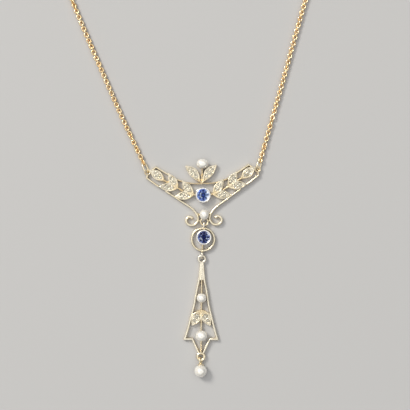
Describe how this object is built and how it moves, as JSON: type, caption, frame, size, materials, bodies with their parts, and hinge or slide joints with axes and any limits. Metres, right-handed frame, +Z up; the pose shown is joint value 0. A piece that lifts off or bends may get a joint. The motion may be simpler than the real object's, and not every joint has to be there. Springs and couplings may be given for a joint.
{
  "type": "pendant necklace",
  "caption": "Fine gold chain necklace lying flat, with a pierced leaf and flower panel set with sapphire, pearls and diamonds, and a circle drop and long kite drop below",
  "frame": {"origin": "middle of the flat back of the panel's sapphire collet, on the surface that the necklace lies on", "axes": "+Z up from that surface, +Y from the drops towards the clasp, +X to the right of the panel seen from the front"},
  "size_m": [0.0923, 0.2207, 0.0032],
  "materials": {
    "gold": "polished yellow gold, softly worn",
    "white_metal": "cream-white precious metal front on gold, worn bright, with fine grain edges",
    "light_sapphire": "faceted, polished",
    "dark_sapphire": "faceted, polished",
    "diamond": "faceted, polished",
    "pearl": "nacre with a soft lustre"
  },
  "bodies": {
    "root": {"panel_frame": "white_metal", "circle_drop": "white_metal", "long_drop": "white_metal", "end_cap": "gold", "left_jump_ring": "gold", "right_jump_ring": "gold", "panel_sapphire": "light_sapphire", "drop_sapphire": "dark_sapphire", "crown_pearl": "pearl", "panel_pearl": "pearl", "upper_drop_pearl": "pearl", "lower_drop_pearl": "pearl", "end_pearl": "pearl", "left_chain": "gold", "right_chain": "gold", "clasp": "gold", "clasp_ring": "gold", "diamond_right_inner_upper_1": "diamond", "diamond_right_inner_upper_2": "diamond", "diamond_right_inner_lower_1": "diamond", "diamond_right_inner_lower_2": "diamond", "diamond_right_middle_upper_1": "diamond", "diamond_right_middle_upper_2": "diamond", "diamond_right_middle_lower_1": "diamond", "diamond_right_middle_lower_2": "diamond", "diamond_right_outer_1": "diamond", "diamond_right_outer_2": "diamond", "diamond_right_flower_1": "diamond", "diamond_right_flower_2": "diamond", "diamond_right_flower_3": "diamond", "diamond_right_chevron_1": "diamond", "diamond_right_chevron_2": "diamond", "diamond_left_inner_upper_1": "diamond", "diamond_left_inner_upper_2": "diamond", "diamond_left_inner_lower_1": "diamond", "diamond_left_inner_lower_2": "diamond", "diamond_left_middle_upper_1": "diamond", "diamond_left_middle_upper_2": "diamond", "diamond_left_middle_lower_1": "diamond", "diamond_left_middle_lower_2": "diamond", "diamond_left_outer_1": "diamond", "diamond_left_outer_2": "diamond", "diamond_left_flower_1": "diamond", "diamond_left_flower_2": "diamond", "diamond_left_flower_3": "diamond", "diamond_left_chevron_1": "diamond", "diamond_left_chevron_2": "diamond"}
  },
  "joints": []
}
